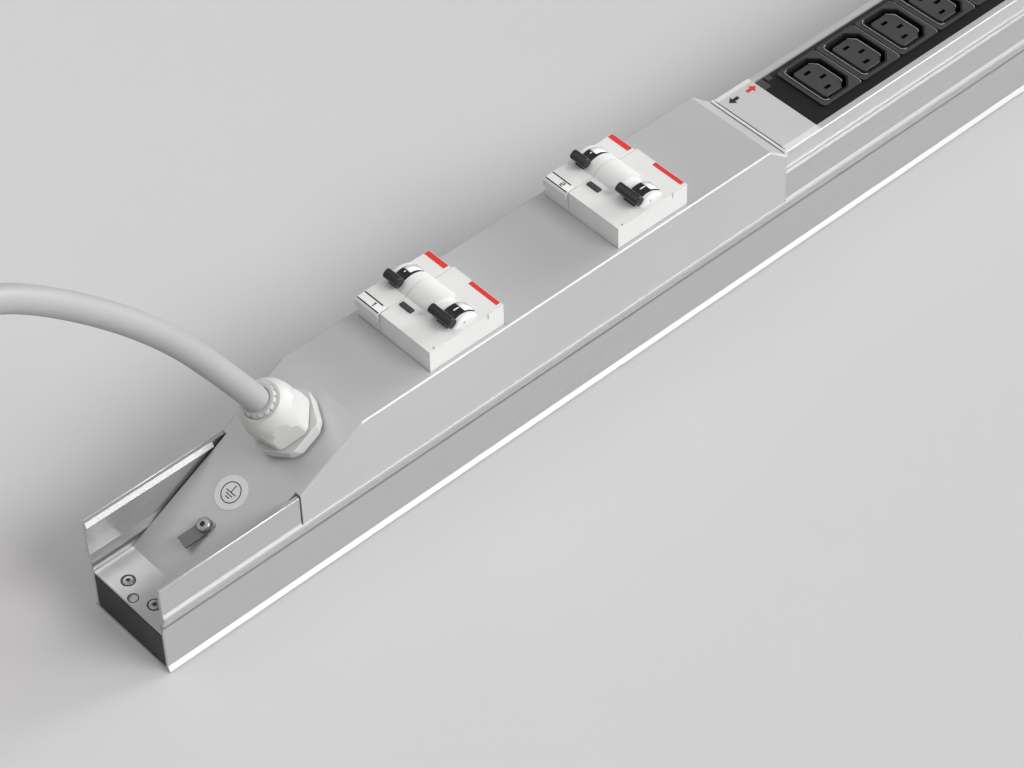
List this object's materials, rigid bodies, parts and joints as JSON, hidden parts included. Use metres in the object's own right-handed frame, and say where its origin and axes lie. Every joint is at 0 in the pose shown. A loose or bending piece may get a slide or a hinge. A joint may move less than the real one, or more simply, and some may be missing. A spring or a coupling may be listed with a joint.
{
  "type": "rack power busbar",
  "caption": "Long aluminium rail with a sheet-metal connection box, breakers, cable gland with coiled lead, and lift-off modules of C13 outlets.",
  "frame": {"origin": "under the middle of the rail, on its back face", "axes": "+X along the rail away from the cable, +Z out of the face with the outlets, +Y across"},
  "size_m": [1.4855, 0.1654, 0.2609],
  "materials": {
    "anodised_aluminium": "fine satin anodised extrusion",
    "painted_sheet": "light grey powder coat",
    "dark_plate": "anthracite powder coat",
    "zinc_steel": "bright zinc plated",
    "black_steel": "black oxide",
    "sign_white": "printed foil, white",
    "gland_grey": "light grey moulded polyamide",
    "seal_grey": "moulded rubber",
    "cable_sheath": "grey cable sheath, slightly satin",
    "plug_grey": "light grey moulded plastic",
    "plug_red": "red moulded plastic",
    "brass_plated": "plain brass",
    "copper": "bare rolled copper",
    "breaker_white": "off-white moulded plastic with red end stripes",
    "toggle_black": "black moulded plastic, semi-gloss",
    "button_grey": "dark grey moulded plastic",
    "carrier_plastic": "glass-filled insulating plastic",
    "strip_black": "black moulded plastic, fine grain",
    "cap_grey": "white-grey moulded plastic with printed arrows"
  },
  "bodies": {
    "busbar_rail": {"box_flange_screws": "zinc_steel", "breaker_1_large_housing": "breaker_white", "breaker_1_marker_clip": "cap_grey", "breaker_1_small_housing": "breaker_white", "breaker_2_large_housing": "breaker_white", "breaker_2_marker_clip": "cap_grey", "breaker_2_small_housing": "breaker_white", "busbar_carrier": "carrier_plastic", "cable_coil": "cable_sheath", "cable_tail": "cable_sheath", "connection_box": "painted_sheet", "earth_bar": "copper", "earth_nut": "zinc_steel", "earth_screw": "zinc_steel", "earth_sign": "sign_white", "earth_tab": "zinc_steel", "earth_washer": "zinc_steel", "end_plate_screws": "black_steel", "far_end_plate": "dark_plate", "gland_body": "gland_grey", "gland_dome_nut": "gland_grey", "gland_gasket": "seal_grey", "gland_locknut": "gland_grey", "gland_seal": "seal_grey", "hat_rail_brackets": "zinc_steel", "hat_rails": "zinc_steel", "inlet_end_plate": "dark_plate", "line_1_bar": "copper", "line_2_bar": "copper", "mains_cable": "cable_sheath", "neutral_1_bar": "copper", "neutral_2_bar": "copper", "plug_body": "plug_grey", "plug_cable_nut": "plug_grey", "plug_pins": "brass_plated", "plug_shroud": "plug_red", "rail_profile": "anodised_aluminium", "terminal_block": "carrier_plastic"},
    "breaker_1_small_toggle": {"breaker_1_small_toggle": "toggle_black"},
    "breaker_1_large_toggle": {"breaker_1_large_toggle": "toggle_black"},
    "breaker_1_test_button": {"breaker_1_test_button": "button_grey"},
    "breaker_2_small_toggle": {"breaker_2_small_toggle": "toggle_black"},
    "breaker_2_large_toggle": {"breaker_2_large_toggle": "toggle_black"},
    "breaker_2_test_button": {"breaker_2_test_button": "button_grey"},
    "socket_module_1": {"module_1_channel": "anodised_aluminium", "module_1_contacts": "copper", "module_1_end_caps": "cap_grey", "module_1_socket_strip": "strip_black"},
    "socket_module_2": {"module_2_channel": "anodised_aluminium", "module_2_contacts": "copper", "module_2_end_caps": "cap_grey", "module_2_socket_strip": "strip_black"},
    "socket_module_3": {"module_3_channel": "anodised_aluminium", "module_3_contacts": "copper", "module_3_end_caps": "cap_grey", "module_3_socket_strip": "strip_black"}
  },
  "joints": [
    {"name": "breaker_1_small_toggle_turn", "type": "hinge", "parent": "busbar_rail", "child": "breaker_1_small_toggle", "pos_m": [-0.385, 0.018, 0.0854], "axis": [0, 1, 0], "range_deg": [0, 68]},
    {"name": "breaker_1_large_toggle_turn", "type": "hinge", "parent": "busbar_rail", "child": "breaker_1_large_toggle", "pos_m": [-0.385, -0.01575, 0.0854], "axis": [0, 1, 0], "range_deg": [0, 68]},
    {"name": "breaker_1_test_button_press", "type": "slide", "parent": "busbar_rail", "child": "breaker_1_test_button", "axis": [0, 0, -1], "range_m": [0, 0.001], "stiffness_N_per_m": 200},
    {"name": "breaker_2_small_toggle_turn", "type": "hinge", "parent": "busbar_rail", "child": "breaker_2_small_toggle", "pos_m": [-0.2673, 0.018, 0.0854], "axis": [0, 1, 0], "range_deg": [0, 68]},
    {"name": "breaker_2_large_toggle_turn", "type": "hinge", "parent": "busbar_rail", "child": "breaker_2_large_toggle", "pos_m": [-0.2673, -0.01575, 0.0854], "axis": [0, 1, 0], "range_deg": [0, 68]},
    {"name": "breaker_2_test_button_press", "type": "slide", "parent": "busbar_rail", "child": "breaker_2_test_button", "axis": [0, 0, -1], "range_m": [0, 0.001], "stiffness_N_per_m": 200},
    {"name": "socket_module_1_lift", "type": "slide", "parent": "busbar_rail", "child": "socket_module_1", "axis": [0, 0, 1], "range_m": [0, 0.05]},
    {"name": "socket_module_2_lift", "type": "slide", "parent": "busbar_rail", "child": "socket_module_2", "axis": [0, 0, 1], "range_m": [0, 0.05]},
    {"name": "socket_module_3_lift", "type": "slide", "parent": "busbar_rail", "child": "socket_module_3", "axis": [0, 0, 1], "range_m": [0, 0.05]}
  ]
}
